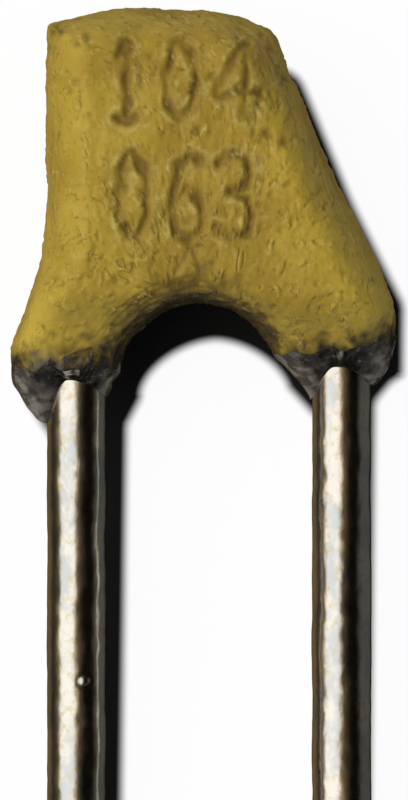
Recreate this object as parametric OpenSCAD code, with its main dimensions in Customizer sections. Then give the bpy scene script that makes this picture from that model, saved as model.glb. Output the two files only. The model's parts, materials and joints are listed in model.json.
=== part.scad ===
// Dipped ceramic plate capacitor with two radial wire leads, lying on its back.
// X runs across the leads and Y up the body from the seating plane, where the bare leads start.
// Z leaves the marked face. The origin is midway between the leads, on the seating plane.
// The last step tilts the whole part by rest_tilt, so that it lies on its lead tips and its back.

/* [Leads] */
// Distance between the centres of the two leads
lead_pitch = 2.54; // [2.3:0.02:3.2]
// Diameter of the tinned wire
wire_d = 0.57; // [0.45:0.01:0.7]
// Bare wire below the seating plane
lead_length = 8; // [3:0.5:25]
// Radius of the bends in the wire, on its centre line
bend_r = 0.55; // [0.4:0.05:0.6]

/* [Ceramic plate] */
// Width of the plate
plate_w = 1.8; // [1.4:0.05:2.4]
// Height of the plate
plate_h = 2.1; // [1.7:0.05:3]
// Thickness of the plate
plate_t = 0.5; // [0.3:0.02:0.8]
// Height of the plate's lower edge over the seating plane
plate_lift = 1.5; // [1.3:0.02:1.9]
// How far the plate's left edge lies outside the centre of the left lead
plate_overhang = 0.07; // [-0.02:0.01:0.15]
// Thickness of the fired silver on each face
electrode_t = 0.02; // [0.01:0.005:0.04]
// Bare ceramic round each silvered area
electrode_margin = 0.08; // [0.04:0.01:0.2]

/* [Solder] */
// Solder left between the wire and the silver
solder_film = 0.02; // [0.01:0.005:0.05]
// Radius of the solder bead along the wire
solder_r = 0.38; // [0.34:0.01:0.45]
// Solder beyond the wire's end
solder_tip = 0.1; // [0.05:0.01:0.15]

/* [Coating] */
// Coating outside the plate's edges
edge_cover = 0.21; // [0.15:0.01:0.3]
// Coating over the wire on each face
face_cover = 0.19; // [0.12:0.01:0.3]
// Width of the rounding along the coating's outline
edge_round = 0.44; // [0.3:0.01:0.46]
// Width of the rounding along the arch
arch_round = 0.3; // [0.2:0.01:0.36]
// Height of the legs' ends at the arch over the seating plane
leg_end = 0.6; // [0.5:0.01:0.7]
// How far the outside of the left leg's end hangs below that
left_leg_drop = 0.08; // [0:0.01:0.12]
// How far the outside of the right leg's end lies above that
right_leg_rise = 0.2; // [0:0.01:0.22]
// Coating between the plate's lower edge and the arch
arch_cover = 0.33; // [0.2:0.01:0.45]
// Coating in front of and behind the wire at a leg's end
leg_cover = 0.27; // [0.2:0.01:0.35]
// Coating outside the left wire at its leg's end
left_leg_out = 0.33; // [0.2:0.01:0.4]
// Coating outside the right wire at its leg's end
right_leg_out = 0.245; // [0.15:0.01:0.3]
// Coating between the left wire and the arch
left_leg_in = 0.13; // [0.1:0.01:0.16]
// Coating between the right wire and the arch
right_leg_in = 0.33; // [0.28:0.01:0.4]

/* [Lead collars] */
// Length of the left collar outside its lead
left_collar_out = 0.5; // [0.35:0.01:0.52]
// Length of the left collar on the side of the arch
left_collar_in = 0.3; // [0.2:0.01:0.4]
// Length of the left collar in front of and behind its lead
left_collar_face = 0.1; // [0.08:0.01:0.3]
// Length of the right collar outside its lead
right_collar_out = 0.42; // [0.3:0.01:0.5]
// Length of the right collar on the side of the arch
right_collar_in = 0.44; // [0.3:0.01:0.5]
// Length of the right collar in front of and behind its lead
right_collar_face = 0.16; // [0.08:0.01:0.3]
// Thickness of a collar's rim on the wire
collar_lip = 0.03; // [0.02:0.005:0.05]

/* [Hidden] */
$fn = 48;

wire_r = wire_d / 2;
lead_x = lead_pitch / 2;

// The plate's edges, and the height of the wires over its middle
plate_left = -lead_x - plate_overhang;
plate_right = plate_left + plate_w;
plate_top = plate_lift + plate_h;
silver_z = plate_t / 2 + electrode_t;
wire_z = silver_z + solder_film + wire_r;

// Each wire leaves its collar straight, crosses to its face of the plate and runs up that face
front_wire_in = 0.32; // from the plate's left edge to the front wire
back_wire_out = 0.32; // from the plate's right edge out to the back wire's foot
back_wire_in = 0.33; // from the plate's right edge in to the back wire's end
wire_top_gap = 0.25; // from the wires' ends to the plate's upper edge
landing_gap = 0.05; // from the bend onto the face up to the plate's lower edge
seam_depth = 0.15; // from a collar's tip up to the end of the bare wire
seam_gap = 0.01; // from there up to the start of the first bend, at least
seam_overlap = 0.05; // how far the bent wire reaches down into the bare one
bend_rise = 0.03; // from the legs' ends at the arch up to the first bend
first_bend_y = leg_end + bend_rise;
landing_y = plate_lift - landing_gap;
wire_end_y = plate_top - wire_top_gap;
front_wire_x = plate_left + front_wire_in;
left_path = [
    [-lead_x, first_bend_y, 0],
    [front_wire_x, landing_y, wire_z],
    [front_wire_x, wire_end_y, wire_z]
];
right_path = [
    [lead_x, first_bend_y, 0],
    [plate_right + back_wire_out, landing_y, -wire_z],
    [plate_right - back_wire_in, wire_end_y, -wire_z]
];
wire_sides = 32;
wire_seam = 0.002; // the bent wire is this much thinner in radius than the bare one
bent_wire_r = wire_r - wire_seam;
solder_end_r = 0.3;
solder_taper = 0.1;
bead_sides = 24;

// The coating's outline, seen from the marked face
body_half = wire_z + wire_r + face_cover;
leg_half = wire_r + leg_cover;
body_left = plate_left - edge_cover;
body_right = plate_right + edge_cover;
crown_cover = 0.16; // more coating over the plate's top than at its sides
body_top = plate_top + edge_cover + crown_cover;
left_leg_x = -lead_x - wire_r - left_leg_out;
right_leg_x = lead_x + wire_r + right_leg_out;
// The corners of the outline, with their distances from the sizes above
left_leg_h = 0.15; // straight outside of the left leg
right_leg_h = 0.56; // straight outside of the right leg
waist_rise = 0.2; // from the plate's lower edge to the left waist
slant_rise = 1; // from the plate's lower edge to the bend of the slanted side
slant_out = 0.46; // how far that bend stands out from the body's right side
crown_left = 0.5; // from the body's left side to where its top is highest
crown_right = 0.55; // the same from the right side
corner_drop_left = 0.13; // height of the crown over the left corner
corner_drop_right = 0.2; // height of the crown over the right corner
corner_in_right = 0.07; // how far the right corner is drawn in
// Each corner of the outline: its place and the radius that rounds it
outline_corners = [
    [[left_leg_x, leg_end - left_leg_drop], 0],
    [[left_leg_x, leg_end + left_leg_h], 0.6],
    [[body_left, plate_lift + waist_rise], 1.6],
    [[body_left, body_top - corner_drop_left], 0.07],
    [[body_left + crown_left, body_top], 1.6],
    [[body_right - crown_right, body_top], 1.2],
    [[body_right - corner_in_right, body_top - corner_drop_right], 0.25],
    [[body_right + slant_out, plate_lift + slant_rise], 2.5],
    [[right_leg_x, leg_end + right_leg_h], 0.45],
    [[right_leg_x, leg_end + right_leg_rise], 0]
];
// The arch between the legs is half of a slightly pinched ellipse that stands on the legs' ends
arch_left = -lead_x + wire_r + left_leg_in;
arch_right = lead_x - wire_r - right_leg_in;
arch_mid = [(arch_left + arch_right) / 2, leg_end];
arch_half = (arch_right - arch_left) / 2;
arch_h = plate_lift - arch_cover - leg_end;
arch_power = 1.7; // 2 would be a true ellipse
swell_l = 0.7; // height over which the legs swell to the body's depth

ring_step = 0.2; // widest gap between two ribs along the outline
rib_parts = 15; // steps across a rib
round_power = 2.2; // 2 would round the edge as an ellipse
collar_rings = 6;
collar_flare = 1.3; // 1 would be a straight cone, and more is concave
collar_bulge = 0.55; // the same outside the legs, where the collars bulge

function unit(v) = v / norm(v);
function mix(a, b, t) = a + (b - a) * t;
function ease(t) = let (u = min(max(t, 0), 1)) u * u * (3 - 2 * u);
function turn_at(a, b, c) = let (
        u = unit(b - a),
        v = unit(c - b)
    )
    acos(min(1, u * v));
function tangent_at(a, b, c, r) = r * tan(turn_at(a, b, c) / 2);

// Points on the arc that rounds corner b of the path a, b, c
function arc_at(a, b, c, r) = let (
        turn = turn_at(a, b, c),
        run = tangent_at(a, b, c, r),
        start = b - unit(b - a) * run,
        end = b + unit(c - b) * run,
        middle = b + unit(unit(a - b) + unit(c - b)) * r / cos(turn / 2),
        steps = max(2, ceil(turn / 12))
    )
    [for (k = [0:steps])
        middle
            + (start - middle) * sin(turn * (1 - k / steps)) / sin(turn)
            + (end - middle) * sin(turn * k / steps) / sin(turn)];

// A path of corners and radii as points, with each corner rounded
function rounded(corners) = let (last = len(corners) - 1) [
    for (i = [0:last])
        if (i == 0 || i == last) corners[i][0]
        else each arc_at(corners[i - 1][0], corners[i][0], corners[i + 1][0], corners[i][1])
];

// The same path with its long stretches divided
function divided(path, step) = [
    path[0],
    for (i = [1:len(path) - 1])
        let (parts = ceil(norm(path[i] - path[i - 1]) / step))
        for (k = [1:parts]) mix(path[i - 1], path[i], k / parts)
];

function gap_to_stretch(p, a, b) = let (
        t = min(max((p - a) * (b - a) / ((b - a) * (b - a)), 0), 1)
    )
    norm(p - mix(a, b, t));
function gap_to_path(p, path) = min(
    [for (i = [1:len(path) - 1]) gap_to_stretch(p, path[i - 1], path[i])]
);

outline = divided(rounded(outline_corners), ring_step);
// The arch's point on the straight line from arch_mid to a point of the outline
arch = [for (p = outline)
    let (
        d = p - arch_mid,
        reach = pow(abs(d.x) / arch_half, arch_power) + pow(abs(d.y) / arch_h, arch_power)
    )
    arch_mid + d / pow(reach, 1 / arch_power)];

// Half the coating's depth at a point p of its face
function depth_at(p) = let (
        full = mix(leg_half, body_half, ease((p.y - leg_end) / swell_l)),
        inward = min(gap_to_path(p, outline) / edge_round, gap_to_path(p, arch) / arch_round),
        left_over = 1 - min(inward, 1)
    )
    full * pow(1 - pow(left_over, round_power), 1 / round_power);

// One rib: a closed ring from the outline over the marked face to the arch and back behind
function rib(i) = let (
        flat = [for (j = [0:rib_parts])
            mix(outline[i], arch[i], (1 - cos(180 * j / rib_parts)) / 2)],
        deep = [for (j = [0:rib_parts])
            j == 0 || j == rib_parts ? 0 : depth_at(flat[j])]
    )
    [
        for (j = [0:rib_parts]) [flat[j].x, flat[j].y, deep[j]],
        for (j = [rib_parts - 1:-1:1]) [flat[j].x, flat[j].y, -deep[j]]
    ];
ribs = [for (i = [0:len(outline) - 1]) rib(i)];
left_end_ring = ribs[0];
right_end_ring = let (ring = ribs[len(ribs) - 1], n = len(ring))
    [for (j = [0:n - 1]) ring[n - 1 - j]];

// A collar's ring at share t of the way from its rim on the wire up to the leg's end ring
function collar_ring(end_ring, x, left_l, right_l, face_l, t) = [for (p = end_ring)
    let (
        out = unit([p.x - x, p.z]),
        side_l = out.x < 0 ? left_l : right_l,
        length = mix(face_l, side_l, pow(abs(out.x), 1.5)),
        outside = max(0, out.x * sign(x)),
        power = mix(collar_flare, collar_bulge, ease(outside)),
        rim = [x, 0] + out * (wire_r + collar_lip),
        q = mix(rim, [p.x, p.z], pow(t, power))
    )
    [q.x, p.y - length * (1 - t), q.y]];
function left_collar_ring(t) = collar_ring(
    left_end_ring, -lead_x, left_collar_out, left_collar_in, left_collar_face, t);
function right_collar_ring(t) = collar_ring(
    right_end_ring, lead_x, right_collar_in, right_collar_out, right_collar_face, t);

// The true cylinder of the bare lead ends inside its collar and below the first bend, and the
// bent wire starts a little below that end
function bend_start_y(path) =
    path[0].y - tangent_at(path[0] - [0, 1, 0], path[0], path[1], bend_r);
function seam_y_of(low_ring, path) = min(
    min([for (p = low_ring) p.y]) + seam_depth,
    bend_start_y(path) - seam_gap
);
left_seam_y = seam_y_of(left_collar_ring(0), left_path);
right_seam_y = seam_y_of(right_collar_ring(0), right_path);

// The part lies on its lead tips and on the point of its back that meets the floor first
rest_tilt = max([for (ring = ribs, p = ring) atan2(-wire_r - p.z, p.y + lead_length)]);

function middle_of(ring) = [for (p = ring) 1] * ring / len(ring);

// Joins rings of equal length into one closed skin, with a fan at each end
module skin(rings) {
    n = len(rings[0]);
    last = len(rings) - 1;
    first_hub = n * (last + 1);
    polyhedron(
        points = [
            for (ring = rings, p = ring) p,
            middle_of(rings[0]),
            middle_of(rings[last])
        ],
        faces = [
            for (j = [0:n - 1]) [first_hub, j, (j + 1) % n],
            for (i = [0:last - 1], j = [0:n - 1])
                let (a = i * n + j, b = i * n + (j + 1) % n)
                each [[a, a + n, b], [b, a + n, b + n]],
            for (j = [0:n - 1]) [first_hub + 1, last * n + (j + 1) % n, last * n + j]
        ]
    );
}

// A ring slid along a run until it meets the plane through a point
function carried(ring, run, point, normal) = [for (p = ring)
    p + run * (((point - p) * normal) / (run * normal))];

// The rings of a wire that follows a line of points, mitred at each of them
function wire_rings(line, ring, i = 0) = i == len(line) - 1 ? [ring] : let (
        run = unit(line[i + 1] - line[i]),
        after = line[min(i + 2, len(line) - 1)] - line[i + 1],
        normal = norm(after) > 0 ? unit(run + unit(after)) : run
    )
    concat([ring], wire_rings(line, carried(ring, run, line[i + 1], normal), i + 1));

// The bent wire from a collar to the end of its path
module bent_wire(path, seam_y) {
    start = [path[0].x, seam_y - seam_overlap, 0];
    line = rounded([[start, 0], for (p = path) [p, bend_r]]);
    ring = [for (k = [0:wire_sides - 1])
        let (a = 360 * k / wire_sides)
        start + bent_wire_r * [sin(a), 0, cos(a)]];
    skin(wire_rings(line, ring));
}

// A whole lead: the straight bare wire and the bent wire that goes on from it
module lead(path, seam_y) {
    translate([path[0].x, -lead_length, 0]) rotate([-90, 0, 0])
        cylinder(h = lead_length + seam_y, r = wire_r);
    bent_wire(path, seam_y);
}

module left_wire() {
    lead(left_path, left_seam_y);
}

module right_wire() {
    lead(right_path, right_seam_y);
}

// A block on one face of the plate, from height z0 to z1 over the plate's middle
module on_face(inset, z0, z1, side) {
    z_low = side > 0 ? z0 : -z1;
    translate([plate_left + inset, plate_lift + inset, z_low])
        cube([plate_w - 2 * inset, plate_h - 2 * inset, z1 - z0]);
}

module plate() {
    translate([plate_left, plate_lift, -plate_t / 2]) cube([plate_w, plate_h, plate_t]);
}

module electrode(side) {
    on_face(electrode_margin, plate_t / 2, silver_z, side);
}

// A ring round a point near the silver, square to a run along that face
function bead_ring(point, run, r) = let (across = [run.y, -run.x, 0])
    [for (k = [0:bead_sides - 1])
        let (a = 360 * (k + 0.5) / bead_sides)
        point + r * (sin(a) * across + cos(a) * [0, 0, 1])];

// The solder along the last stretch of a wire, which wets only the silver
module bead(path, seam_y, side) {
    last = len(path) - 1;
    foot = [path[last - 1].x, path[last - 1].y, side * (silver_z + solder_film / 2)];
    run = unit(path[last] - path[last - 1]);
    bead_l = norm(path[last] - path[last - 1]) + solder_tip;
    intersection() {
        difference() {
            skin([
                bead_ring(foot, run, solder_end_r),
                bead_ring(foot + run * solder_taper, run, solder_r),
                bead_ring(foot + run * (bead_l - solder_taper), run, solder_r),
                bead_ring(foot + run * bead_l, run, solder_end_r)
            ]);
            bent_wire(path, seam_y);
        }
        on_face(electrode_margin, silver_z, silver_z + wire_d, side);
    }
}

module front_bead() {
    bead(left_path, left_seam_y, 1);
}

module back_bead() {
    bead(right_path, right_seam_y, -1);
}

module coating() {
    color("darkgoldenrod") difference() {
        skin(ribs);
        plate();
        electrode(1);
        electrode(-1);
        front_bead();
        back_bead();
        bent_wire(left_path, left_seam_y);
        bent_wire(right_path, right_seam_y);
    }
}

// The resin that creeps from a leg's end down its lead, longest at the lead's sides
module left_lead_collar() {
    color("dimgray") difference() {
        skin([for (k = [0:collar_rings]) left_collar_ring(k / collar_rings)]);
        left_wire();
    }
}

module right_lead_collar() {
    color("dimgray") difference() {
        skin([for (k = [0:collar_rings]) right_collar_ring(k / collar_rings)]);
        right_wire();
    }
}

module left_lead() {
    color("silver") left_wire();
}

module right_lead() {
    color("silver") right_wire();
}

module ceramic_plate() {
    color("tan") plate();
}

module front_electrode() {
    color("lightgray") electrode(1);
}

module back_electrode() {
    color("lightgray") electrode(-1);
}

module front_solder() {
    color("gray") front_bead();
}

module back_solder() {
    color("gray") back_bead();
}

module lying() {
    rotate([rest_tilt, 0, 0]) children();
}

lying() coating();
lying() left_lead_collar();
lying() right_lead_collar();
lying() left_lead();
lying() right_lead();
lying() ceramic_plate();
lying() front_electrode();
lying() back_electrode();
lying() front_solder();
lying() back_solder();
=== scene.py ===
# %% [markdown]
# A dipped ceramic capacitor lies on its back: an ochre lacquer body with two legs, a dark
# resin collar at the end of each leg, and two tinned wires. The CAD frame already holds
# every solid in its place. This lesson gives each visible solid a finer skin on the same
# formulas, a finish that reads like the real material, and a small studio.

# %% Load the CAD frame and keep its box
import json
import math

import bpy
import numpy as np
from mathutils import Matrix, Vector


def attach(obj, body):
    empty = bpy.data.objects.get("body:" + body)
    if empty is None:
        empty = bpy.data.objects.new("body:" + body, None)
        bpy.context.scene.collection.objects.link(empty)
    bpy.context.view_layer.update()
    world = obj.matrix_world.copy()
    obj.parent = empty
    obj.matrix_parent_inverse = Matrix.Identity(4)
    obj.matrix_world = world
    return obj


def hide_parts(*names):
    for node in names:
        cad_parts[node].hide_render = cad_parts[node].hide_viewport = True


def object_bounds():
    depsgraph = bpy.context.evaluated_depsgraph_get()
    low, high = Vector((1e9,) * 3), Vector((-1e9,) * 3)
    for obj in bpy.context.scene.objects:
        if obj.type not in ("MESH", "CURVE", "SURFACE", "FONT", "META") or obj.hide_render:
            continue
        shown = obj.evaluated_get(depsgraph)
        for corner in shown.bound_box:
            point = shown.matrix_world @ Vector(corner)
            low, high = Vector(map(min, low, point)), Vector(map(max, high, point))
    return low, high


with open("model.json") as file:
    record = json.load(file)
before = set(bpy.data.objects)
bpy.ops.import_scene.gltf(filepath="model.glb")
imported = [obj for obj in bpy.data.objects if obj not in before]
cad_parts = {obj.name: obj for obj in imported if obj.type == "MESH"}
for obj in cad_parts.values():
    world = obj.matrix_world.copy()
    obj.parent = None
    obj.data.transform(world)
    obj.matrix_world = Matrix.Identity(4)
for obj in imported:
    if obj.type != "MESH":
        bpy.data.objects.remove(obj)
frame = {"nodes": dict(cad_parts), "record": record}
cad_box = [list(corner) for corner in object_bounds()]
print("CAD box in mm:", [[round(1000 * v, 3) for v in corner] for corner in cad_box])

# %% [markdown]
# The capacitor was drawn upright on its leads and then tipped back until it lay on its lead
# tips and its back. The shapes are easier to write upright, in millimetres: X runs across
# the leads, Y up the body and Z out of the marked face. One function then tips the points
# as the CAD does and turns them into metres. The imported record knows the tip: the mount
# axis of the pair of leads points down the body.

# %% The tip of the lying body
lead_pair = next(m for m in frame["record"]["mounts"] if m["name"] == "lead_pair")
up_body = -np.array(lead_pair["axis"]) / np.linalg.norm(lead_pair["axis"])
out_of_face = np.array([0.0, -up_body[2], up_body[1]])


def lie(points):
    """Upright millimetres to lying metres: x stays, y runs along up_body and z along
    out_of_face."""
    p = np.asarray(points, float)
    return (p[..., :1] * [1.0, 0.0, 0.0] + p[..., 1:2] * up_body
            + p[..., 2:] * out_of_face) / 1000


print("the body is tipped by", round(math.degrees(math.asin(up_body[2])), 3), "degrees")

# %% [markdown]
# One tool turns a grid of points into a closed mesh. Rows run along a piece and columns go
# round it, and each end closes with a fan on its middle point. The signed volume tells
# whether the faces point outwards. Masks for the colour ride along as one number per point.

# %% Grids into meshes
def into_scene(name, data):
    """A new object of the scene that holds this mesh, lamp or camera."""
    thing = bpy.data.objects.new(name, data)
    bpy.context.scene.collection.objects.link(thing)
    return thing


def add_mask(mesh, name, values):
    """One number per point of the mesh, which a finish reads by this name."""
    layer = mesh.attributes.new(name, "FLOAT", "POINT")
    layer.data.foreach_set("value", values.reshape(-1).astype(np.float32))


def closed_skin(name, points, masks=None):
    """Rows x columns of points (metres) as one closed tube with a fan at each end. A face
    joins (row, col), (row, col + 1), (row + 1, col + 1) and (row + 1, col). All faces turn
    round if the sum of their signed volumes a . (b x c) / 6 is negative."""
    rows, cols = points.shape[:2]
    verts = np.concatenate([points.reshape(-1, 3), points[:1].mean(1), points[-1:].mean(1)])
    row, col = np.meshgrid(np.arange(rows - 1), np.arange(cols), indexing="ij")
    after = (col + 1) % cols
    a, b = row * cols + col, row * cols + after
    quads = np.stack([a, b, b + cols, a + cols], -1).reshape(-1, 4)
    ring, after = np.arange(cols), (np.arange(cols) + 1) % cols
    hub, last = rows * cols, (rows - 1) * cols
    fans = np.concatenate([
        np.stack([np.full(cols, hub), after, ring], -1),
        np.stack([np.full(cols, hub + 1), last + ring, last + after], -1),
    ])
    tris = np.concatenate([quads[:, [0, 1, 2]], quads[:, [0, 2, 3]], fans])
    corner = verts[tris]
    volume = np.einsum("ij,ij->i", corner[:, 0], np.cross(corner[:, 1], corner[:, 2])).sum() / 6
    if volume < 0:
        quads, fans = quads[:, ::-1], fans[:, ::-1]
    mesh = bpy.data.meshes.new(name)
    mesh.from_pydata(verts.tolist(), [], quads.tolist() + fans.tolist())
    mesh.polygons.foreach_set("use_smooth", np.ones(len(mesh.polygons), bool))
    for mask, values in (masks or {}).items():
        ends = [values[:1].mean(1), values[-1:].mean(1)]
        add_mask(mesh, mask, np.concatenate([values.reshape(-1), *ends]))
    mesh.update()
    print(f"{name}: {len(verts)} points, {len(tris)} triangles, {abs(volume) * 1e9:.3f} mm3")
    return into_scene(name, mesh)


print("a grid of 3 x 4 points has", 2 * 4 + 2 * 4, "faces once it is closed")

# %% [markdown]
# Lacquer and resin are liquids that have set, so nothing on them is regular and nothing is
# grainy. A sum of plane waves in seeded random directions has that even roll, at any
# wavelength and the same on each run. Where one shape passes into another, a smooth step
# does it, because a plain threshold would leave a kink.

# %% Smooth noise and a smooth step
def ripples(points, wavelength, seed, waves=28):
    """Sum of cosines of (direction . point) * 2 pi / wavelength + phase, with random
    directions and phases and a little spread in wavelength, scaled to a spread of 1."""
    rng = np.random.default_rng(seed)
    directions = rng.normal(size=(waves, 3))
    directions /= np.linalg.norm(directions, axis=1, keepdims=True)
    pitch = 2 * np.pi / (wavelength * rng.uniform(0.75, 1.35, waves))
    phase = rng.uniform(0, 2 * np.pi, waves)
    total = np.zeros(points.shape[:-1])
    for direction, k, shift in zip(directions, pitch, phase):
        total += np.cos(points @ direction * k + shift)
    return total * math.sqrt(2 / waves)


def ease(value, low, high):
    """Smooth step from 0 at low to 1 at high: u * u * (3 - 2 * u)."""
    u = np.clip((value - low) / (high - low), 0, 1)
    return u * u * (3 - 2 * u)


print("a quarter of the way up the step stands at", ease(0.25, 0.0, 1.0))

# %% [markdown]
# The lacquer coat is what the eye sees first. The real part gets it by dipping: a ceramic
# plate and its two wires go into liquid resin, which rounds every edge and draws down
# round each wire into a leg, with an arch between. In CAD it is one tube bent into a U:
# each rib runs from the outline over the face to the arch and back behind. The same
# formula on a dense grid gives the fine skin, and it stays exactly on the solid. A sculpted
# or remeshed blob would lose the crisp top corner and drift from the CAD.

# %% Paths of the coat: the outline and the arch
outline_corners = [
    ((-1.885, 0.52), 0), ((-1.885, 0.75), 0.6), ((-1.55, 1.7), 1.6), ((-1.55, 3.84), 0.07),
    ((-1.05, 3.97), 1.6), ((0.12, 3.97), 1.2), ((0.6, 3.77), 0.25), ((1.13, 2.5), 2.5),
    ((1.8, 1.16), 0.45), ((1.8, 0.8), 0),
]
arch_mid, arch_half, arch_h, arch_power = np.array([-0.1, 0.6]), 0.755, 0.57, 1.7
along_count, front_count, back_count = 388, 146, 62


def rounded(corners, degrees=3):
    """Each inner corner b becomes an arc of its radius, tangent to both sides: the arc's
    points lie on the circle whose middle is on the bisector at radius / cos(turn / 2)."""
    spots = [np.array(c[0], float) for c in corners]
    path = [spots[0]]
    for a, b, c, radius in zip(spots, spots[1:], spots[2:], [r for _, r in corners[1:-1]]):
        into, out = (b - a) / np.linalg.norm(b - a), (c - b) / np.linalg.norm(c - b)
        turn = math.acos(min(1.0, float(into @ out)))
        run = radius * math.tan(turn / 2)
        bisector = (out - into) / np.linalg.norm(out - into)
        middle = b + bisector * radius / math.cos(turn / 2)
        steps = max(2, math.ceil(math.degrees(turn) / degrees))
        t = np.linspace(0, 1, steps + 1)[:, None]
        start, end = b - into * run - middle, b + out * run - middle
        path.extend(middle + (start * np.sin(turn * (1 - t)) + end * np.sin(turn * t))
                    / math.sin(turn))
    return np.array(path + [spots[-1]])


def spaced(path, count):
    """The path's points at equal steps of its length."""
    walked = np.concatenate([[0], np.cumsum(np.linalg.norm(np.diff(path, axis=0), axis=1))])
    stations = np.linspace(0, walked[-1], count)
    return np.stack([np.interp(stations, walked, axis) for axis in path.T], -1)


outline = spaced(rounded(outline_corners), along_count)
rays = outline - arch_mid
reach = ((np.abs(rays) / [arch_half, arch_h]) ** arch_power).sum(1) ** (1 / arch_power)
arch = arch_mid + rays / reach[:, None]
print("outline", len(outline), "points; arch from", arch[0].round(3), "to", arch[-1].round(3))

# %% [markdown]
# Depth comes next. The dip leaves the body nearly twice as thick as the legs, full in the
# middle and round at every edge. So the depth at a point depends on its height and on how
# far it is from the nearer edge, and the back of each rib mirrors the front on a coarser
# grid.

# %% The coat's smooth skin
leg_deep, body_deep = 0.555, 1.05
outline_round, arch_round, round_power = 0.44, 0.3, 2.2


def gap_to(path, points):
    """Distance in the face's plane from each point to the nearest stretch of the path."""
    best = np.full(points.shape[:-1], np.inf)
    for a, b in zip(path[:-1], path[1:]):
        side = b - a
        t = np.clip((points - a) @ side / max(side @ side, 1e-12), 0, 1)
        best = np.minimum(best, np.hypot(*np.moveaxis(points - a - t[..., None] * side, -1, 0)))
    return best


def half_depth(flat):
    """The legs' half depth eases into the body's over 0.7 mm of height, times the rounding
    (1 - left_over ** power) ** (1 / power), where left_over falls from 1 at an edge to 0 at
    outline_round from the outline or arch_round from the arch."""
    full = leg_deep + (body_deep - leg_deep) * ease(flat[..., 1], 0.6, 1.3)
    inward = np.minimum(gap_to(outline, flat) / outline_round, gap_to(arch, flat) / arch_round)
    left_over = 1 - np.minimum(inward, 1)
    return full * (1 - left_over ** round_power) ** (1 / round_power)


def across(count):
    """Shares from 0 to 1, closer together towards both ends: (1 - cos(pi t)) / 2."""
    return (1 - np.cos(np.pi * np.linspace(0, 1, count + 1))) / 2


def coat_side(count):
    """One side of every rib: flat points from the outline to the arch, and their depth."""
    share = across(count)[None, :, None]
    flat = outline[:, None] * (1 - share) + arch[:, None] * share
    deep = half_depth(flat)
    deep[:, [0, -1]] = 0
    return flat, deep


front_flat, front_deep = coat_side(front_count)
back_flat, back_deep = coat_side(back_count)
coat = np.concatenate([
    np.concatenate([front_flat, front_deep[..., None]], -1),
    np.concatenate([back_flat, -back_deep[..., None]], -1)[:, -2:0:-1],
], 1)
flat = coat[..., :2]
print("coat grid", coat.shape[:2], "and", round(2 * coat[..., 2].max(), 3), "mm deep")

# %% [markdown]
# The face carries two rows of three shallow marks, pressed in and worn brown. Marks on
# this copy are plain numbers of its own. Each figure is a few strokes in a box, and the
# groove's depth is a function of the distance to the nearest stroke, so it follows the
# grid without any cutting. Booleans would tear a skin as fine as this one. The points are
# shaken a little before they are measured, so that the strokes waver as on the real part.

# %% Strokes of the pressed figures
turn = np.linspace(0, 2 * np.pi, 25)
loop = np.stack([0.5 + 0.42 * np.sin(turn), 0.5 + 0.5 * np.cos(turn)], -1)
figures = {
    "1": [[(0.2, 0.8), (0.55, 1.0), (0.55, 0.0)], [(0.2, 0.0), (0.9, 0.0)]],
    "0": [loop],
    "4": [[(0.72, 0.0), (0.72, 1.0), (0.04, 0.32), (1.0, 0.32)]],
    "6": [[(0.86, 0.9), (0.62, 1.0), (0.32, 0.9), (0.1, 0.6), (0.05, 0.32), (0.18, 0.07),
           (0.5, 0.0), (0.82, 0.08), (0.95, 0.3), (0.82, 0.5), (0.5, 0.57), (0.14, 0.42)]],
    "3": [[(0.08, 0.9), (0.38, 1.0), (0.75, 0.95), (0.9, 0.77), (0.7, 0.58), (0.38, 0.53)],
          [(0.38, 0.53), (0.8, 0.45), (0.96, 0.26), (0.78, 0.05), (0.4, 0.0), (0.05, 0.12)]],
}
rows_of_marks = [
    ("104", 2.91, 0.73, [(-0.93, 0.29), (-0.42, 0.32), (0.06, 0.4)]),
    ("063", 1.78, 0.78, [(-0.87, 0.31), (-0.36, 0.32), (0.06, 0.38)]),
]
face_side = ease(coat[..., 2], 0.2, 0.5)
shaken = flat + 0.011 * np.stack([ripples(coat, 0.26, 61), ripples(coat, 0.26, 62)], -1)
stroke_gap = np.full(flat.shape[:-1], np.inf)
for figures_of_row, low, tall, places in rows_of_marks:
    for figure, (left, wide) in zip(figures_of_row, places):
        for stroke in figures[figure]:
            path = np.array([left, low]) + np.array(stroke) * [wide, tall]
            stroke_gap = np.minimum(stroke_gap, gap_to(path, shaken))
stroke_gap = np.maximum(0, stroke_gap - 0.008 * ripples(coat, 0.2, 63))
print("marks cover", int(((stroke_gap < 0.05) & (coat[..., 2] > 0)).sum()), "grid points")

# %% [markdown]
# Dipped lacquer is never smooth. It rolls gently as it sags, and it has a fine orange peel
# from drying. The figures are grooves with a soft lip, deeper where the stamp bit and
# nearly worn away elsewhere. All of these are heights along the skin's normal, so they
# show from every side and in the exported mesh. A bump map would show in renders only.

# %% Roll, orange peel and grooves
peel_tall, roll_tall, lip_tall, groove_deep = 0.0016, 0.009, 0.006, 0.025


def skin_normals(points):
    """Cross product of the steps along the rows and along the columns, made unit."""
    along = np.gradient(points, axis=0)
    around = np.roll(points, -1, 1) - np.roll(points, 1, 1)
    normal = np.cross(around, along)
    return normal / np.maximum(np.linalg.norm(normal, axis=-1, keepdims=True), 1e-12)


normals = skin_normals(coat)
if (normals[..., 2] * np.sign(coat[..., 2])).mean() < 0:
    normals = -normals
peel = ripples(coat, 0.13, 11) + 0.6 * ripples(coat, 0.07, 12)
roll = ripples(coat, 0.9, 13, 16) + 0.5 * ripples(coat, 0.4, 14, 20)
worn = 0.55 + 0.45 * ease(ripples(coat, 0.24, 15), -1.0, 0.6)
groove = 1 - ease(stroke_gap, 0.012, 0.058)
lip = np.exp(-((stroke_gap - 0.07) / 0.018) ** 2)
height = peel_tall * peel + roll_tall * roll
height += face_side * worn * (lip_tall * lip - groove_deep * groove)
print("soft relief from", height.min().round(4), "to", height.max().round(4), "mm")

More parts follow.
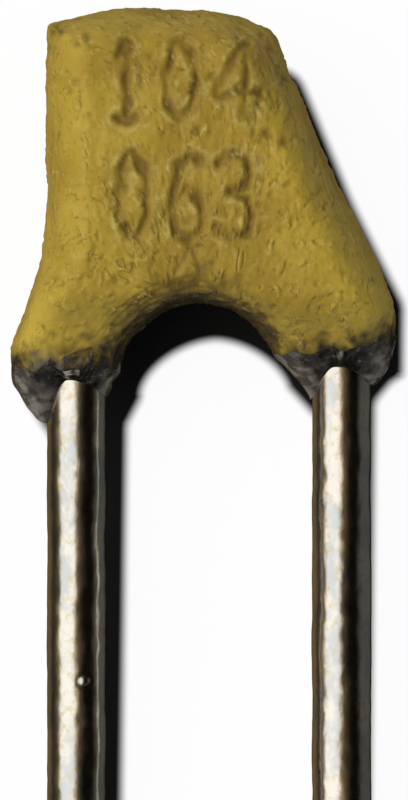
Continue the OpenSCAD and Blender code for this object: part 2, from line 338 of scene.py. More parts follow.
# %% [markdown]
# Air bubbles in the resin leave pits. The large ones sit round the sharp left corner and
# along the step near the right one, so they are listed one by one, and small ones are strewn
# over the face at random. Each is a round dip, exp(-(distance / radius) ** 2) deep, and
# it is darkened in proportion to its depth.

# %% Pits
rng = np.random.default_rng(21)
left_corner_pits = [
    ((-1.42, 3.74), 0.045, 0.03), ((-1.51, 3.74), 0.035, 0.025), ((-1.46, 3.82), 0.045, 0.022),
    ((-1.53, 3.6), 0.035, 0.02), ((-1.25, 3.61), 0.032, 0.025), ((-1.15, 3.68), 0.038, 0.022),
    ((-1.26, 3.25), 0.045, 0.022), ((-1.33, 3.17), 0.03, 0.02),
]
right_corner_pits = [
    ((0.05, 3.3), 0.05, 0.022), ((0.51, 3.73), 0.03, 0.018), ((0.58, 3.58), 0.032, 0.02),
    ((0.74, 3.3), 0.04, 0.025), ((0.46, 3.02), 0.05, 0.028), ((0.55, 2.75), 0.06, 0.03),
    ((0.72, 2.68), 0.05, 0.025),
]
pits = left_corner_pits + right_corner_pits
for _ in range(70):
    spot = (rng.uniform(-1.5, 1.3), rng.uniform(0.8, 3.85))
    pits.append((spot, rng.uniform(0.018, 0.04), rng.uniform(0.004, 0.016)))
pit_mask = np.zeros(height.shape)
deepest_pit = max(depth for _, _, depth in pits)
for spot, radius, depth in pits:
    dip = np.exp(-(((flat - np.array(spot)) / radius) ** 2).sum(-1))
    pit_mask = np.maximum(pit_mask, dip * depth / deepest_pit)
    height -= face_side * depth * dip
print(len(pits), "pits, the deepest", deepest_pit, "mm")

# %% [markdown]
# As the skin dries first, it puckers into short wrinkles that start and stop. Noise cut
# sharply at its zero line, tanh(noise / 0.16), gives a low bank, and a second, slower noise
# opens it only here and there. Three sizes of it look right together. The foot of each bank
# is darkened as painted shade and its top is lightened as a painted highlight. A finer
# ripple crosses the right corner.

# %% Wrinkles
bank_sizes = ((0.30, 0.006, 51, 0.8), (0.17, 0.0055, 54, 0.65), (0.10, 0.006, 57, 0.42))
bank_foot_shade, bank_top_highlight = np.zeros(height.shape), np.zeros(height.shape)
for wavelength, tall, seed, opens in bank_sizes:
    bent = coat + 0.035 * np.stack([ripples(coat, 0.25, seed + 20 + k) for k in range(3)], -1)
    wander = ripples(bent, wavelength, seed)
    gate = ease(ripples(coat, 1.6 * wavelength, seed + 1), opens, opens + 0.7)
    height += tall * gate * np.tanh(wander / 0.16)
    # Painted shade at the foot of each bank, and a painted highlight on its top.
    bank_foot_shade = np.maximum(bank_foot_shade, gate * np.exp(-((wander + 0.25) / 0.15) ** 2))
    bank_top_highlight = np.maximum(bank_top_highlight, gate * np.exp(-((wander - 0.2) / 0.15) ** 2))
corner = ease(flat[..., 0], 0.2, 0.5) * ease(flat[..., 1], 3.1, 3.35) * face_side
height += 0.004 * corner * np.tanh(ripples(coat, 0.14, 60) / 0.3)
print("wrinkles cover", round(100 * float((bank_foot_shade > 0.3).mean()), 1), "% of the coat")

# %% [markdown]
# Above the arch the resin has drained in faint rings that follow its edge, a fold like an
# upturned V lies over its middle, and near the right corner the face steps down along a
# short ledge. Each is a function of a distance: to the arch, to two strokes, or to a line.

# %% Rings, the crease and the step
ring_pitch, ring_tall = 0.055, 0.006
crease_foot_left, crease_top, crease_foot_right = (-0.32, 1.45), (-0.17, 1.7), (-0.08, 1.47)
crease_wide, crease_deep = 0.025, 0.013
arch_gap = gap_to(arch, flat)
rings = np.cos(2 * np.pi * arch_gap / ring_pitch + 1.2 * ripples(coat, 0.5, 16, 12))
ring_zone = (1 - ease(arch_gap, 0.12, 0.36)) * (1 - 0.8 * ease(flat[..., 0], -0.2, 0.35))
height += ring_tall * ring_zone * ease(flat[..., 1], 0.75, 1.0) * rings
crease_gap = gap_to(np.array([crease_foot_left, crease_top, crease_foot_right]), flat)
crease = face_side * np.exp(-(crease_gap / crease_wide) ** 2)
height -= crease_deep * crease
step_zone = ease(flat[..., 0], 0.5, 0.75) * ease(flat[..., 1], 2.5, 3.0)
height += 0.03 * step_zone * (1 - ease(flat[..., 1], 3.24, 3.34)) - 0.012 * step_zone
print("relief from", height.min().round(4), "to", height.max().round(4), "mm")

# %% [markdown]
# The lacquer ends on each leg in a ragged line, because the resin stopped running there.
# Below that line the points also move up and down a little, so the end itself is uneven.
# The collars start from this same moved row, so they follow it.

# %% The ragged ends of the legs
skin = coat + normals * height[..., None]
end_line_x = [-1.87, -0.86, 0.65, 1.0, 1.5, 1.78]
end_line_y = [0.52, 0.6, 0.56, 0.6, 0.75, 0.82]
leg_gap = flat[..., 1] - np.interp(flat[..., 0], end_line_x, end_line_y)
uneven = 0.026 * ripples(coat, 0.32, 19) + 0.014 * ripples(coat, 0.13, 20)
skin[..., 1] += uneven * (1 - ease(leg_gap, 0.0, 0.3))
print("the legs end between", skin[[0, -1], :, 1].min().round(3), "and",
      skin[[0, -1], :, 1].max().round(3), "mm up")

# %% [markdown]
# The colour follows the shape: brown on the legs, brown with painted shade along the arch
# and over the face above it, black where the lacquer meets resin, painted shade under the
# arch's rim, painted light low on the face, dirty in figures, darker in the pits, painted
# shade in the crease and at the foot of each wrinkle, and a painted highlight on each lip
# and on the top of each bank. So each mask is worked out here, from the distances that made
# the shape, and stored on the points. Painted textures would need a picture.

# %% Masks of the lacquer's colour
ragged = 0.05 * ripples(coat, 0.22, 17) + 0.03 * ripples(coat, 0.09, 18)
# Painted shade over the arch: it reaches furthest at the crown and least on the right, which faces
# the lamp.
arch_shade_reach = arch_gap * (1 - 0.35 * ease(flat[..., 1], 0.9, 1.25)
                         + 0.5 * ease(flat[..., 0], 0.15, 0.6))
leg_brown = (1 - ease(leg_gap + ragged, 0.1, 0.4)) * (1 - ease(flat[..., 0], 0.3, 0.7))
# Painted highlight along the lip beside each pressed figure.
lip_highlight = worn * np.exp(-((stroke_gap - 0.095) / 0.022) ** 2)
masks = {
    "mark": face_side * np.maximum(worn * (1 - ease(stroke_gap, 0.015, 0.07)),
                                   0.35 * (1 - ease(stroke_gap, 0.04, 0.18))),
    # Brown on the legs, and brown with painted shade along the arch and over the face above it.
    "brown": np.maximum(1 - ease(arch_shade_reach + ragged, 0.02, 0.38),
                        0.26 * (1 - ease(arch_gap, 0.2, 1.1))) + 0.14 * leg_brown,
    # Black where the lacquer meets the resin at the legs' ends, and painted shade under the arch's
    # rim.
    "black_ends_and_arch_shade": np.maximum(1 - ease(leg_gap + 0.6 * ragged, 0.0, 0.32),
                       0.85 * (1 - ease(arch_gap + 0.4 * ragged, -0.02, 0.16))),
    # Painted light: the low face is lighter where the legs slope away from the lamp, more on the
    # left.
    "pale": (1 - ease(flat[..., 1], 0.9, 1.6)) * face_side * (1 - 0.5 * ease(flat[..., 0], 0, 1)),
    # Darker in the pits by their depth, with painted shade in the crease and at the foot of each
    # wrinkle bank.
    "pits_and_painted_shade": np.maximum(np.maximum(pit_mask, 0.6 * crease), 0.85 * bank_foot_shade) * face_side,
    # Painted highlight on the lips of the figures and on the tops of the wrinkle banks.
    "lip_and_bank_highlight": np.maximum(lip_highlight, bank_top_highlight) * face_side,
}
print("mean of each mask:", {name: round(float(mask.mean()), 3) for name, mask in masks.items()})
coat_piece = closed_skin("lacquer_coat", lie(skin), masks)

# %% [markdown]
# Below each leg the resin has crept down the wire and set as a dark, glossy, concave
# collar. It is longest at the wire's sides and short in front. The CAD draws it as rings
# that shrink from the leg's end down to the wire, and the fine collar does the same from
# the coat's own last ring, with a few lumps, so it grows out of the leg without a seam.
# Its last ring lies inside the coat and closes the mesh there, and its rim is a hair wider
# than the wire, as resin is where it ends. The leads' pitch and thickness come from the
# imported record.

# %% The two collars
lead_x, wire_radius = lead_pair["dims"]["pcd_mm"] / 2, lead_pair["dims"]["stud_r_mm"]
rim_radius = wire_radius + 0.017
shortest_at, concave, bulging = -0.3, 1.3, 0.55


def collar(name, end_ring, level_ring, x, left_l, right_l, face_l, seed):
    """Ring at share t: q = rim + (end - rim) * t ** power in the x-z plane, at the end
    ring's height less length * (1 - t). The power is concave and eases to bulging on the
    outer side. The length is face_l where out.x is shortest_at and grows
    to each side's length by way ** 1.8, where way is the share of the way there. The
    waves of the leg's end fade from the end ring to the level rim with t."""
    t = np.linspace(0, 1, 56)[:, None]
    off = end_ring[:, [0, 2]] - [x, 0]
    out = off / np.linalg.norm(off, axis=1, keepdims=True)
    on_left = out[:, 0] < shortest_at
    side_l = np.where(on_left, left_l, right_l)
    way = (out[:, 0] - shortest_at) / np.where(on_left, -1 - shortest_at, 1 - shortest_at)
    length = face_l + (side_l - face_l) * way ** 1.8
    rim = out * rim_radius
    power = concave - (concave - bulging) * ease(np.maximum(0, out[:, 0] * np.sign(x)), 0, 1)
    q = rim + (off - rim) * (t ** power)[..., None]
    y = level_ring[:, 1] + (end_ring - level_ring)[:, 1] * t - length * (1 - t)
    points = np.stack([q[..., 0] + x, y, q[..., 1]], -1)
    swell = np.sin(np.pi * t) ** 0.7
    lumps = 0.011 * ripples(points, 0.3, seed) + 0.004 * ripples(points, 0.13, seed + 1)
    points[..., 0] += out[:, 0] * (lumps * swell)
    points[..., 2] += out[:, 1] * (lumps * swell)
    inside_leg = points[-1:] + ([x, 0.9, 0] - points[-1:]) * 0.12
    points = np.concatenate([points, inside_leg])
    # Painted sheen: the resin is paler at the wire's sides and stays black in front.
    side_sheen = ease(np.abs(out[:, 0]) + 0.08 * ripples(points, 0.2, seed + 2), 0.45, 0.95)
    return closed_skin(name, lie(points), {"side_sheen": side_sheen})


left_collar = collar("left_resin_collar", skin[0], coat[0], -lead_x, 0.5, 0.3, 0.1, 31)
right_collar = collar("right_resin_collar", skin[-1], coat[-1], lead_x, 0.44, 0.42, 0.16, 33)

# %% [markdown]
# Each lead is drawn copper-clad wire with a hot-dip tin layer. It runs straight out of its
# collar and is a hair uneven, which is what breaks its long highlight into patches. On the
# left one a drop of tin has frozen into a small nodule. A profile carried along a path
# makes it: the same path as in CAD, with its bends inside the coat, and a ring square to
# the path at every station.

# %% The two leads
lead_tip, bend_foot, bend_radius, beside_plate = -8.0, 0.63, 0.55, 0.575


def wire(name, corners, seed, nodule=None):
    """A ring of wire_radius about each station of the rounded path, on two unit vectors
    square to the run: side = X less its share along the run, and face = side x run. The
    radius rolls by a few micrometres where the wire is bare. A nodule, given by its angle
    and height, adds a bump with a shallow moat. Both ends are cut flat, and two smaller
    rings on each cut keep the shading of the round side from running over it."""
    path = rounded([(c, bend_radius) for c in corners], 4)
    centre = spaced(path, 900)
    run = np.gradient(centre, axis=0)
    run /= np.linalg.norm(run, axis=1, keepdims=True)
    side = np.array([1.0, 0, 0]) - run[:, :1] * run
    side /= np.linalg.norm(side, axis=1, keepdims=True)
    face = np.cross(side, run)
    angle = np.linspace(0, 2 * np.pi, 72, endpoint=False)
    round_about = np.cos(angle)[:, None] * side[:, None] + np.sin(angle)[:, None] * face[:, None]
    points = centre[:, None] + wire_radius * round_about
    bare = 1 - ease(centre[:, 1], 0.0, 0.4)[:, None]
    roll = 0.0030 * ripples(points, 0.5, seed) + 0.0009 * ripples(points, 0.16, seed + 1)
    radius = wire_radius - 0.0015 + bare * np.clip(roll, -0.006, 0.0055)
    if nodule:
        angle_to_face, up = nodule
        spot = np.array([corners[0][0] + wire_radius * math.sin(angle_to_face), up,
                         wire_radius * math.cos(angle_to_face)])
        off = np.linalg.norm(points - spot, axis=-1)
        radius += 0.014 * np.exp(-(off / 0.035) ** 2) - 0.006 * np.exp(-((off - 0.06) / 0.02) ** 2)
    points = centre[:, None] + radius[..., None] * round_about
    tip = [centre[0] + (points[0] - centre[0]) * k for k in (0.55, 0.9)]
    top = [centre[-1] + (points[-1] - centre[-1]) * k for k in (0.9, 0.5)]
    # The second ring repeats the first one, so the cut end starts with a true cylinder.
    points[1] = points[0] + (centre[1] - centre[0]) * 1.5
    return closed_skin(name, lie(np.concatenate([tip, points, top])))


left_wire = wire("left_tinned_lead", [
    (-lead_x, lead_tip, 0.0), (-lead_x, bend_foot, 0.0),
    (-1.02, 1.45, beside_plate), (-1.02, 3.35, beside_plate)], 41, (0.29, -2.445))
right_wire = wire("right_tinned_lead", [
    (lead_x, lead_tip, 0.0), (lead_x, bend_foot, 0.0),
    (0.78, 1.45, -beside_plate), (0.13, 3.35, -beside_plate)], 43)

# %% [markdown]
# A finish is a small network of nodes. Sums on sockets are easier to read as Python, so one
# class wraps a socket and turns +, - and * into Math nodes, and another holds a
# material and adds any other node: its type, its settings, then its values and links.
# The sky is such a network too, so the same class builds it.

# %% Shader sums as Python
class Value:
    """A socket in a finish, ready for sums. Plain numbers may stand on either side."""

    def __init__(self, finish, socket):
        self.finish, self.socket = finish, socket

    def sum_node(self, operation, first, second):
        return self.finish.node("ShaderNodeMath", {"operation": operation},
                                {0: first, 1: second})

    def __add__(self, other):
        return self.sum_node("ADD", self, other)

    def __sub__(self, other):
        return self.sum_node("SUBTRACT", self, other)

    def __rsub__(self, other):
        return self.sum_node("SUBTRACT", other, self)

    def __mul__(self, other):
        return self.sum_node("MULTIPLY", self, other)

    __radd__, __rmul__ = __add__, __mul__

    def step(self, low, high):
        """0 below low, 1 above high, and smooth between."""
        return self.finish.node("ShaderNodeMapRange", {"interpolation_type": "SMOOTHSTEP"},
                                {"Value": self, "From Min": low, "From Max": high})


class Finish:
    """The nodes of one material, or of the sky, built from Python."""

    def __init__(self, name, of_sky=False):
        self.owner = (bpy.data.worlds if of_sky else bpy.data.materials).new(name)
        self.owner.use_nodes = True
        self.tree = self.owner.node_tree
        self.tree.nodes.clear()
        self.output = "ShaderNodeOutputWorld" if of_sky else "ShaderNodeOutputMaterial"

    def node(self, kind, settings=None, inputs=None, out=0):
        """A new node of this kind. Its settings come first, because they can change its
        sockets, and then each input takes a link or a value. Gives one output back."""
        made = self.tree.nodes.new(kind)
        for setting, value in (settings or {}).items():
            setattr(made, setting, value)
        for socket, value in (inputs or {}).items():
            if isinstance(value, Value):
                self.tree.links.new(value.socket, made.inputs[socket])
            elif made.inputs[socket].type == "RGBA":
                made.inputs[socket].default_value = (*value, 1)
            else:
                made.inputs[socket].default_value = value
        return Value(self, made.outputs[out]) if made.outputs else None

    def place(self):
        """Where the point lies in the part's own frame, in metres."""
        return self.node("ShaderNodeTexCoord", out="Object")

    def noise(self, size_mm, detail=2.0, rough=0.5, stretch=(1, 1, 1)):
        """Noise with lumps of about size_mm, from 0 to 1 round 0.5."""
        spot = self.node("ShaderNodeMapping", {}, {"Vector": self.place(), "Scale": stretch})
        return self.node("ShaderNodeTexNoise", {}, {"Vector": spot, "Scale": 1000 / size_mm,
                                                    "Detail": detail, "Roughness": rough})

    def mask(self, name):
        """A mask that was stored on the mesh."""
        return self.node("ShaderNodeAttribute", {"attribute_name": name}, out="Fac")

    def tint(self, first, second, share):
        """The colour first, turning into second as share goes from 0 to 1."""
        return self.node("ShaderNodeMix", {"data_type": "RGBA"},
                         {0: share, 6: first, 7: second}, out=2)

    def layers(self, colour, over):
        """The colour with each layer's colour laid over it in turn, as far as its share."""
        for layer_colour, share in over.values():
            colour = self.tint(colour, layer_colour, share)
        return colour

    def bump(self, height, micrometres, strength=0.8):
        """Fine relief, too small for the mesh, as a turned normal."""
        return self.node("ShaderNodeBump", {}, {"Height": height, "Strength": strength,
                                                "Distance": micrometres * 1e-6})

    def seen(self):
        """1 where the camera looks, straight or by way of metal or glass, and 0 where a
        ray only gathers light for the part."""
        camera, glossy, through = (self.node("ShaderNodeLightPath", out=f"Is {way} Ray")
                                   for way in ("Camera", "Glossy", "Transmission"))
        return self.node("ShaderNodeMath", {"operation": "ADD", "use_clamp": True},
                         {0: camera, 1: glossy + through})

    def surface(self, sockets):
        """A Principled surface with these values and links on its sockets."""
        return self.end(self.node("ShaderNodeBsdfPrincipled", {}, sockets))

    def end(self, shader):
        """Joins the shader to the output, and gives the material or the world back."""
        self.node(self.output, {}, {"Surface": shader})
        print(self.owner.name, "has", len(self.tree.nodes), "nodes")
        return self.owner


print("shader tools ready")

# %% [markdown]
# The lacquer is a matt-to-satin ochre. Its colour drifts in soft patches with a pale grain
# and dark specks, turns brown towards the ends of the legs, turns brown with painted shade
# towards the arch, and goes almost black where it meets the collars. Painted shade also
# blackens the arch's rim and darkens the crease and the foot of each wrinkle, painted light
# lifts the low face, and a painted highlight lies on each lip and bank. Dirt sits in the
# pressed figures, and the pits are darker. The masks on the mesh say where, and noise breaks
# their edges. A colour alone would look like paint, so the roughness follows the same
# noises and is lowest on the blackened ends of the legs and on the arch's rim.

# %% The lacquer
lacquer = Finish("ochre lacquer")
patches = lacquer.noise(0.9, 3.0, 0.55)
grain = lacquer.noise(0.12, 3.0, 0.6)
speck = lacquer.noise(0.045, 2.0, 0.6)
streak = lacquer.noise(0.1, 3.0, 0.6, (1, 1.6, 1))
black_ends_and_arch_shade = lacquer.mask("black_ends_and_arch_shade")
drift = lacquer.tint((0.365, 0.254, 0.02), (0.298, 0.197, 0.012), patches.step(0.38, 0.62))
ochre = lacquer.layers(drift, {
    "pale grain": ((0.42, 0.31, 0.045), grain.step(0.54, 0.7) * 0.5),
    "dark specks": ((0.19, 0.118, 0.006), speck.step(0.57, 0.73) * 0.45),
    # Painted light on the low face, where the legs slope away from the lamp.
    "painted light on the low face": ((0.55, 0.40, 0.04), lacquer.mask("pale") * 0.5),
    # Brown on the legs, with painted shade along the arch and over the face above it.
    "brown and painted arch shade": ((0.095, 0.056, 0.001), lacquer.mask("brown") * (grain * 0.6 + 0.5)),
    "worn figures": ((0.12, 0.068, 0.002), lacquer.mask("mark") * (grain * 0.7 + 0.55)),
    # Darker pits, and painted shade in the crease and at the foot of each wrinkle.
    "dark pits and painted shade": ((0.085, 0.052, 0.002), lacquer.mask("pits_and_painted_shade") * 0.75),
    # Painted highlight on the lips of the figures and the tops of the banks.
    "painted highlights on lips and banks": ((0.50, 0.40, 0.11), lacquer.mask("lip_and_bank_highlight") * grain.step(0.4, 0.6) * 0.55),
    # Black at the legs' ends where the resin begins, and painted shade under the arch's rim.
    "blackened ends and painted arch shade": ((0.022, 0.018, 0.013), black_ends_and_arch_shade * (streak * 0.6 + 0.7)),
})
lacquer_material = lacquer.surface({
    "Base Color": ochre,
    "Roughness": 0.40 + patches * 0.12 + speck * 0.1 - black_ends_and_arch_shade * 0.22,
    "Specular IOR Level": 0.5,
    "Normal": lacquer.bump(grain + speck * 0.5, 10),
})

# %% [markdown]
# The collars are a dark, nearly black resin that has run thinly and set glossy, with dust
# and brown streaks in it. Its sides are paler, as a painted sheen, and its front stays
# black. A low roughness with slow lumps gives the broken, wet glints.

# %% The collar resin
resin = Finish("dark collar resin")
streaks = resin.noise(0.34, 2.5, 0.5)
mottle = resin.noise(0.16, 3.0, 0.55)
dust = resin.noise(0.06, 2.0, 0.5)
resin_colour = resin.layers((0.005, 0.004, 0.003), {
    # Painted sheen on the collar's sides.
    "painted side sheen": ((0.18, 0.165, 0.14), resin.mask("side_sheen") * (mottle.step(0.4, 0.6) * 0.75 + 0.22)),
    "dust": ((0.22, 0.19, 0.14), dust.step(0.6, 0.75) * 0.4),
})
resin_material = resin.surface({
    "Base Color": resin_colour,
    "Roughness": 0.14 + streaks * 0.2,
    "Specular IOR Level": 0.6,
    "Normal": resin.bump(streaks + mottle * 0.2 + dust * 0.1, 36),
})

# %% [markdown]
# Tin is a bright metal that dulls in patches. Its highlight runs the length of the lead and
# breaks into warm and cool blotches, so the colour and the roughness both vary, and
# a slow bump bends the reflection's edges.

# %% The tinned wire
tin = Finish("tinned wire")
blotches = tin.noise(0.32, 3.0, 0.6, (1.4, 0.6, 1))
flecks = tin.noise(0.09, 3.0, 0.65)
tin_colour = tin.layers((0.79, 0.77, 0.71), {
    "cool blotches": ((0.58, 0.62, 0.63), blotches.step(0.42, 0.62)),
    "brown flecks": ((0.66, 0.56, 0.34), flecks.step(0.5, 0.72) * 0.7),
})
tin_material = tin.surface({
    "Base Color": tin_colour,
    "Metallic": 1.0,
    "Roughness": 0.11 + flecks * 0.2,
    "Normal": tin.bump(blotches + flecks * 0.3, 7),
})

# %% [markdown]
# Inside, out of sight, lie the ceramic plate, its fired silver faces and the solder. They
# stay as the CAD made them, and each gets the finish that it has on a real one that has
# been cut open: bare fired ceramic, matt silver paste and soft grey solder. One grain is
# enough for each, and it varies the colour, the roughness and the bump together.

# %% The parts inside
def grained(name, lump_mm, detail, pale, dark, dark_from, metallic, rough, rougher, micrometres):
    """A plain finish: pale turns dark as its one grain passes from 0.4 to dark_from, and
    the roughness is rough + grain * rougher."""
    finish = Finish(name)
    lumps = finish.noise(lump_mm, detail)
    return finish.surface({
        "Base Color": finish.tint(pale, dark, lumps.step(0.4, dark_from)),
        "Metallic": metallic,
        "Roughness": rough + lumps * rougher,
        "Normal": finish.bump(lumps, micrometres, 1.0),
    })


fired_material = grained("fired ceramic", 0.08, 3.0, (0.55, 0.47, 0.36), (0.44, 0.36, 0.26),
                         0.65, 0.0, 0.7, 0.15, 6)
silver_material = grained("fired silver", 0.05, 2.0, (0.8, 0.79, 0.76), (0.68, 0.65, 0.6),
                          0.7, 1.0, 0.42, 0.2, 3)
solder_material = grained("soft solder", 0.2, 2.0, (0.55, 0.55, 0.54), (0.42, 0.42, 0.42),
                          0.65, 1.0, 0.25, 0.25, 8)
for node, material in {
    "ceramic_plate": fired_material, "front_electrode": silver_material,
    "back_electrode": silver_material, "front_solder": solder_material,
    "back_solder": solder_material,
}.items():
    kept = frame["nodes"][node]
    if kept.material_slots:
        for slot in kept.material_slots:
            slot.material = material
    else:
        kept.data.materials.append(material)
    print(node, "has", material.name)

# %% [markdown]
# Each fine piece gets its finish and rides on the root body, and the CAD node that it
# stands for is hidden.

# %% Pieces and their nodes
for piece, node, slot, material in (
    (coat_piece, "coating", "lacquer", lacquer_material),
    (left_collar, "left_lead_collar", "collar_resin", resin_material),
    (right_collar, "right_lead_collar", "collar_resin", resin_material),
    (left_wire, "left_lead", "tinned_wire", tin_material),
    (right_wire, "right_lead", "tinned_wire", tin_material),
):
    piece.data.materials.append(material)
    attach(piece, "root")
    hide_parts(node)
    print(piece.name, "stands for", node)

# %% [markdown]
# In a photograph of such a part, the shadow under it is nearly black. A soft lamp over
# white paper can't throw one, because the paper lights its own shadow. So the shadow is
# painted, by distance. Each point of the table follows the light up to the part's middle
# plane, and its distance to the part's silhouette there, negative inside, is stored on the
# table. This light leans as the photographed shadow does, a little up the body and to the
# left, and not as far to the left as the lamp further down. The slanted side's edge moves
# out by a fringe, and the right leg and lead are drawn narrower than they are, so that no
# more than a thin dark line shows beside them.

# %% The shadow's edge on the table
floor_z = cad_box[0][2] - 0.00004
table_reach, table_step = 400, 0.05
light_lean = [-0.16, 0.3]
fringe, right_leg_edge, right_lead_edge = 0.05, 1.69, 1.42
lead_in, lead_out = lead_x - wire_radius, lead_x + wire_radius


def table_line(low, high):
    """Steps of table_step from low to high, in mm, with one far point at either end."""
    near = np.linspace(low, high, round((high - low) / table_step) + 1)
    return np.concatenate([[-table_reach], near, [table_reach]])


def signed_gap(loop, points):
    """Distance to the closed loop, negative inside. A point is inside if a ray from it
    to the right crosses the loop an odd number of times."""
    inside = np.zeros(points.shape[:-1], bool)
    for (x0, y0), (x1, y1) in zip(loop[:-1], loop[1:]):
        if y0 != y1:
            crosses = (y0 > points[..., 1]) != (y1 > points[..., 1])
            inside ^= crosses & (points[..., 0] < x0 + (points[..., 1] - y0) * (x1 - x0) / (y1 - y0))
    return gap_to(loop, points) * np.where(inside, -1, 1)


floor_y, floor_x = np.meshgrid(table_line(-10, 6), table_line(-4, 4), indexing="ij")
straight_up = np.stack([floor_x, floor_y * up_body[1] + 1000 * floor_z * up_body[2]], -1)
below_part = -(floor_y * out_of_face[1] + 1000 * floor_z * out_of_face[2])
lit_from = straight_up + below_part[..., None] * light_lean
far_side = outline[::3] + fringe * ease(outline[::3, :1], 0.3, 0.7) * [1, 0]
silhouette = np.concatenate([
    np.minimum(far_side, [right_leg_edge, np.inf]),
    [(1.59, 0.74), (1.45, 0.57), (right_lead_edge, 0.5)],
    [(right_lead_edge, lead_tip), (lead_in, lead_tip), (lead_in, 0.3)],
    arch[::-3],
    [(-lead_in, 0.3), (-lead_in, lead_tip), (-lead_out, lead_tip), (-lead_out, 0.02)],
    outline[:1]])
away = signed_gap(silhouette, lit_from)
print("painted shadow covers", round(float((away < 0).sum()) * table_step ** 2, 2), "mm2")

# %% [markdown]
# The table is white to the camera without extra light on the part: most of what the camera
# sees of it is its own glow, and the rest is lit paper, so it keeps the lamp's own soft
# shadow too. Where the stored distance is negative, the paper is almost black instead.

# %% The table
rows, cols = floor_x.shape
row, col = np.meshgrid(np.arange(rows - 1), np.arange(cols - 1), indexing="ij")
first = (row * cols + col).reshape(-1, 1)
corners = np.stack([floor_x / 1000, floor_y / 1000, np.full(floor_x.shape, floor_z)], -1)
floor_mesh = bpy.data.meshes.new("table")
floor_mesh.from_pydata(corners.reshape(-1, 3).tolist(), [],
                       (first + [0, 1, cols + 1, cols]).tolist())
add_mask(floor_mesh, "away", away)
table = into_scene("table", floor_mesh)
paper = Finish("pale paper")
paper_grey, shadow_grey, glow_share = 0.92, 0.014, 0.95
lit = paper.node("ShaderNodeBsdfDiffuse", {}, {"Color": (paper_grey,) * 3})
glow = paper.node("ShaderNodeEmission", {}, {"Color": (1.0, 1.0, 1.0)})
shaded = paper.node("ShaderNodeBsdfDiffuse", {}, {"Color": (shadow_grey,) * 3})
bright = paper.node("ShaderNodeMixShader", {}, {0: paper.seen() * glow_share, 1: lit, 2: glow})
table.data.materials.append(paper.end(paper.node(
    "ShaderNodeMixShader", {}, {0: paper.mask("away").step(-0.03, 0.1), 1: shaded, 2: bright})))
table.visible_glossy = False

# %% [markdown]
# Metal and gloss show what stands round them, so a wire on white paper under a white sky
# would look like paper. As for any photograph of bright wire, black cards stand round
# the part. The lamp's tall face fills the directions from straight ahead to the left, with
# a faint rim round it. Dim cards stand low on the right and on the left, and grey ones past
# the head and the foot, so the leads look like metal from behind too. The tent below is
# those cards as one shell that only glossy rays see: its glow is a function of direction.

# %% The tent that the metal sees
tent_radius = 0.25
theta, phi = np.meshgrid(np.linspace(0.02, np.pi - 0.02, 25),
                         np.linspace(0, 2 * np.pi, 48, endpoint=False), indexing="ij")
shell = tent_radius * np.stack([np.sin(theta) * np.cos(phi), np.sin(theta) * np.sin(phi),
                                np.cos(theta)], -1)
tent = closed_skin("cards", shell)
cards = Finish("cards round the part")
towards = cards.node("ShaderNodeVectorMath", {"operation": "NORMALIZE"}, {0: cards.place()})


def share_along(axis):
    """How far the direction points along this axis, from -1 to 1."""
    return cards.node("ShaderNodeVectorMath", {"operation": "DOT_PRODUCT"},
                      {0: towards, 1: tuple(float(v) for v in axis)}, out="Value")


right, up, out = share_along((1, 0, 0)), share_along(up_body), share_along(out_of_face)
leftward = cards.node("ShaderNodeMath", {"operation": "ARCTAN2"}, {0: right * -1, 1: out})
degrees_left = leftward * (180 / math.pi)
lamp_height = up.step(-0.75, -0.5) * (1 - up.step(0.7, 0.9))
lamp_face = degrees_left.step(-9, 13) * (1 - degrees_left.step(60, 78)) * lamp_height
lamp_rim = degrees_left.step(-36, 0) * (1 - degrees_left.step(68, 112)) * lamp_height
low_right = (1 - degrees_left.step(-86, -60)) * degrees_left.step(-160, -130)
low_left = degrees_left.step(96, 130) * (1 - degrees_left.step(150, 175))
head_end = up.step(0.6, 0.85)
foot_sides = degrees_left.step(15, 60) + (1 - degrees_left.step(-60, -15))
foot_end = (1 - up.step(-0.8, -0.5)) * foot_sides
glow_level = (lamp_face * 1.15 + lamp_rim * 0.09 + low_right * 0.08 + low_left * 0.14
              + head_end * 0.3 + foot_end * 0.2 + 0.002)
card_colour = cards.tint((1.0, 0.70, 0.36), (1.0, 0.975, 0.93),
                         lamp_face.step(0.35, 0.98) + low_right + head_end + foot_end)
card_glow = cards.node("ShaderNodeVectorMath", {"operation": "SCALE"},
                       {0: card_colour, "Scale": glow_level})
tent.data.materials.append(cards.end(cards.node("ShaderNodeEmission", {}, {"Color": card_glow})))
for ray in ("camera", "diffuse", "transmission", "volume_scatter", "shadow"):
    setattr(tent, "visible_" + ray, False)

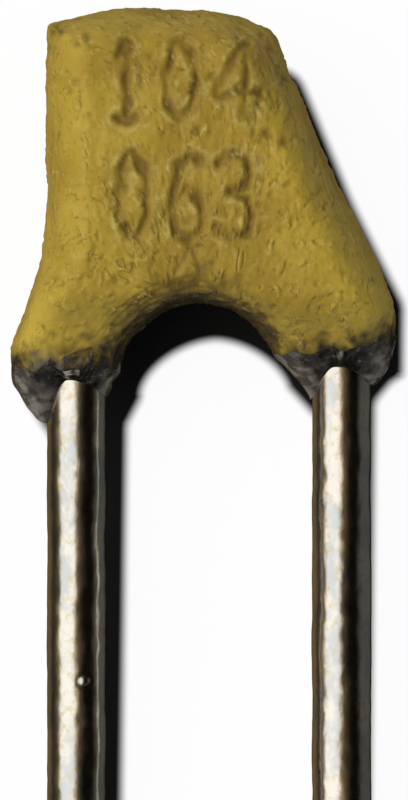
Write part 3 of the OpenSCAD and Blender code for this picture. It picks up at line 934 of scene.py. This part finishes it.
# %% [markdown]
# One square lamp, as wide as it is far, stands to the left and a little up the body from
# straight ahead, so the relief shows and its shadows are soft. Glossy rays miss it, because
# the tent holds its face. The sky fills in at about a third of white, and it is white
# where it is seen.

# %% The lamp and the sky
look_at = [-0.048, 0.24]
lamp_size, lamp_away, lamp_watts, sky_fill = 0.12, 0.12, 0.155, 0.36
lamp_left, lamp_up = 0.727, 0.2
lamp_data = bpy.data.lights.new("soft lamp", "AREA")
lamp_data.shape, lamp_data.size, lamp_data.energy = "SQUARE", lamp_size, lamp_watts
lamp_data.color = (1.0, 0.97, 0.92)
lamp = into_scene("soft lamp", lamp_data)
lamp_way = np.array([-lamp_left, 0.0, 0.0]) + lamp_up * up_body + out_of_face
lamp_way /= np.linalg.norm(lamp_way)
lamp.location = lie([*look_at, 0.0]) + lamp_away * lamp_way
lamp.rotation_euler = Vector(lamp_way).to_track_quat("Z", "Y").to_euler()
lamp.visible_glossy = False
print("lamp", lamp_watts, "W at", [round(1000 * v) for v in lamp.location], "mm")

sky = Finish("pale sky", of_sky=True)
sky_colour = sky.tint((sky_fill,) * 3, (1.0, 1.0, 1.0), sky.seen())
bpy.context.scene.world = sky.end(sky.node("ShaderNodeBackground", {}, {"Color": sky_colour}))

# %% [markdown]
# The camera looks straight at the marked face from 80 mm away. Its angle is set for a
# picture 408 x 800 pixels, in which 104.3 pixels are one millimetre.

# %% The camera
picture_tall, pixels_per_mm, camera_away = 800, 104.3, 80.0
camera_data = bpy.data.cameras.new("camera")
camera_data.angle = 2 * math.atan(picture_tall / pixels_per_mm / 2 / camera_away)
camera_data.clip_start, camera_data.clip_end = 0.001, 10
camera = into_scene("camera", camera_data)
camera.matrix_world = Matrix.Translation(lie([*look_at, camera_away])) @ Matrix((
    (1, 0, 0), tuple(up_body), tuple(out_of_face))).transposed().to_4x4()
bpy.context.scene.camera = camera
bpy.context.scene.view_settings.view_transform = "Standard"
print("camera at", [round(1000 * v, 2) for v in camera.matrix_world.translation], "mm")

# %% [markdown]
# The last cell brings the scene up to date.

# %% The end
bpy.context.view_layer.update()
